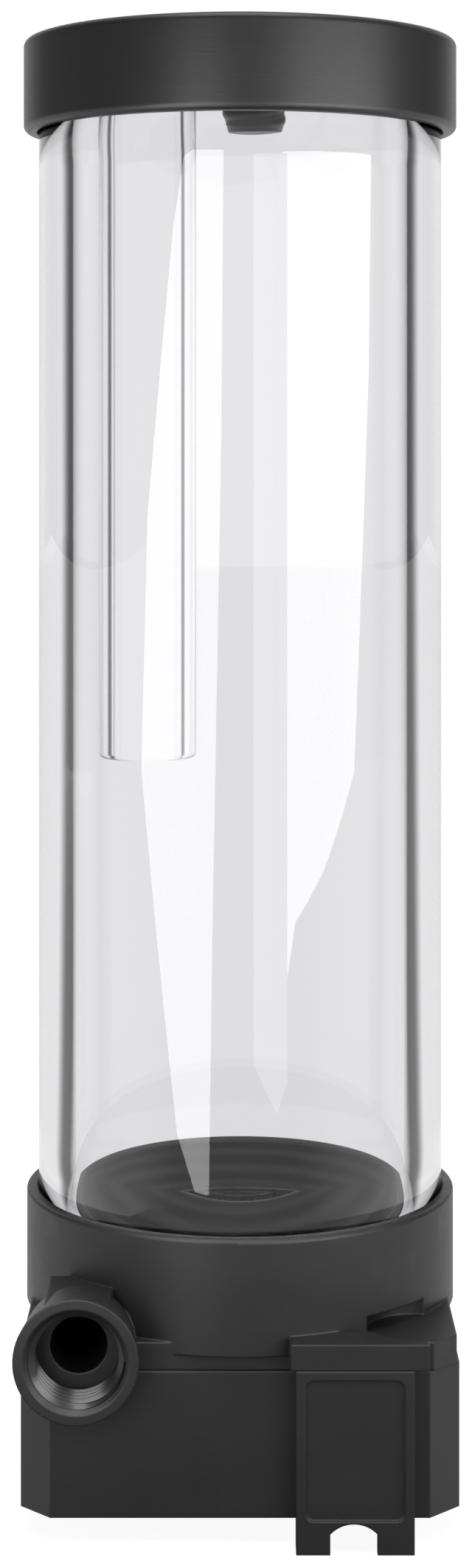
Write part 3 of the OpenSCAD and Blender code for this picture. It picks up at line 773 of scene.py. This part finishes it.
class COOLANT_OT_cap(bpy.types.Operator):
    """Builds the turned cap with its return port, fill plug and bleed screw"""

    bl_idname = "coolant.cap"
    bl_label = "Cap"

    def execute(self, context):
        sizes = context.scene.coolant_sizes
        colours = context.scene.coolant_colours
        acetal = turned_acetal("turned_acetal", colours.acetal, sizes.soft_edge)
        coat("top_cap", acetal)
        thread = ridge(
            "return_port_thread", sizes.port_radius, sizes.port_radius - 0.8 * MM,
            CAP_TOP - 7.4 * MM, CAP_TOP - 1.1 * MM, sizes.port_pitch)
        fit(dress(shifted(thread, DROP.x, 0), acetal), "cap", "black_acetal")
        fill = screw_plug(
            "fill_plug_turned", (high("fill_plug").x - low("fill_plug").x) / 2,
            sizes.port_radius - 0.08 * MM, sizes.port_pitch, CAP_TOP - 3.2 * MM,
            high("fill_plug").z, low("fill_plug").z, FILL)
        fit(dress(fill, acetal), "fill_screw", "black_acetal", "fill_plug")
        bleed = screw_plug(
            "bleed_screw_turned", (high("bleed_screw").x - low("bleed_screw").x) / 2, 4.78 * MM,
            sizes.bleed_pitch, CAP_TOP - 2.4 * MM, high("bleed_screw").z, low("bleed_screw").z,
            BLEED)
        fit(dress(bleed, acetal), "bleed", "black_acetal", "bleed_screw")
        rubber = seal_rubber("cap_rubber", colours.rubber)
        for node in ("cap_seal", "fill_plug_ring", "bleed_screw_ring"):
            coat(node, rubber)
        return {"FINISHED"}


class COOLANT_OT_pump_top(bpy.types.Operator):
    """Finishes the moulded pump top and cuts its outlet thread"""

    bl_idname = "coolant.pump_top"
    bl_label = "Pump top"

    def execute(self, context):
        sizes = context.scene.coolant_sizes
        colours = context.scene.coolant_colours
        nylon = moulded_nylon("moulded_top", colours.nylon, sizes.soft_edge)
        coat("pump_top", nylon)
        depth = 7.2 * MM
        thread = ridge(
            "outlet_thread", sizes.port_radius, sizes.port_radius - 0.8 * MM, 0.9 * MM, depth,
            sizes.port_pitch)
        thread.data.transform(Matrix.Rotation(math.radians(-90), 4, "X"))
        shifted(thread, OUTLET.x, PORT_FACE, OUTLET.z)
        cut = satin_plastic("cut_thread", (0.03, 0.03, 0.031), 0.2)
        fit(dress(thread, cut), "pump", "black_nylon")
        rubber = seal_rubber("pump_rubber", colours.rubber)
        for node in ("tube_seal", "housing_ring", "cable_grommet"):
            coat(node, rubber)
        return {"FINISHED"}


class COOLANT_OT_motor_housing(bpy.types.Operator):
    """Finishes the motor housing, its cover and the forked cable cover"""

    bl_idname = "coolant.motor_housing"
    bl_label = "Motor housing"

    def execute(self, context):
        sizes = context.scene.coolant_sizes
        colours = context.scene.coolant_colours
        nylon = moulded_nylon("moulded_housing", colours.nylon, sizes.soft_edge)
        for node in ("motor_housing", "bottom_cover", "cable_cover"):
            coat(node, nylon)
        coat("housing_screws", metal("zinc_screws", (0.6, 0.6, 0.62), 0.28, 900, (1, 1, 0.2)))
        return {"FINISHED"}


class COOLANT_OT_motor_parts(bpy.types.Operator):
    """Finishes the rotor, the stator and the board inside the housing"""

    bl_idname = "coolant.motor_parts"
    bl_label = "Motor parts"

    def execute(self, context):
        coat("impeller", satin_plastic("impeller_plastic", (0.05, 0.05, 0.055)))
        coat("rotor_magnet", metal("ground_ferrite", (0.1, 0.1, 0.11), 0.42, 1400, (1, 1, 0.3)))
        coat("rotor_bush", satin_plastic("carbon_bush", (0.03, 0.03, 0.032), 0.35))
        white = satin_plastic("ground_ceramic", (0.8, 0.78, 0.72), 0.2, 1.08)
        coat("rotor_shaft", white)
        coat("thrust_washer", white)
        coat("isolation_can", satin_plastic("can_nylon", (0.025, 0.025, 0.026), 0.38))
        coat("stator_core", metal("laminations", (0.45, 0.46, 0.48), 0.34, 2400, (0.05, 0.05, 1)))
        coat("stator_coils", wound_copper("wound_copper"))
        coat("circuit_board", solder_mask("solder_mask"))
        coat("board_capacitors", metal(
            "capacitor_cans", (0.6, 0.61, 0.63), 0.25, 1800, (1, 1, 0.1)))
        coat("driver_chips", satin_plastic("chip_resin", (0.018, 0.018, 0.019), 0.5))
        coat("lead_header", satin_plastic("header_nylon", (0.78, 0.76, 0.68), 0.4, 1.08))
        return {"FINISHED"}


class COOLANT_PT_panel(bpy.types.Panel):
    """Lists the steps that dress the pump reservoir"""

    bl_idname = "COOLANT_PT_panel"
    bl_label = "Coolant pump reservoir"
    bl_space_type = "VIEW_3D"
    bl_region_type = "UI"
    bl_category = "Coolant"

    def draw(self, context):
        layout = self.layout
        for settings in (context.scene.coolant_sizes, context.scene.coolant_colours,
                         context.scene.coolant_stage):
            box = layout.box()
            for name in settings.__annotations__:
                box.prop(settings, name)
        for step in STEPS:
            layout.operator(step.bl_idname)


STEPS = (
    COOLANT_OT_stage,
    COOLANT_OT_reservoir_tube,
    COOLANT_OT_drop_tube,
    COOLANT_OT_cap,
    COOLANT_OT_pump_top,
    COOLANT_OT_motor_housing,
    COOLANT_OT_motor_parts,
)
CLASSES = (ReservoirSizes, ReservoirColours, StageSettings, *STEPS, COOLANT_PT_panel)


def register():
    for cls in CLASSES:
        bpy.utils.register_class(cls)
    bpy.types.Scene.coolant_sizes = PointerProperty(type=ReservoirSizes)
    bpy.types.Scene.coolant_colours = PointerProperty(type=ReservoirColours)
    bpy.types.Scene.coolant_stage = PointerProperty(type=StageSettings)


def unregister():
    del bpy.types.Scene.coolant_stage
    del bpy.types.Scene.coolant_colours
    del bpy.types.Scene.coolant_sizes
    for cls in reversed(CLASSES):
        bpy.utils.unregister_class(cls)


def main():
    """Dresses the whole part."""
    register()
    for step in STEPS:
        group, name = step.bl_idname.split(".")
        getattr(getattr(bpy.ops, group), name)()


if __name__ == "__main__":
    main()
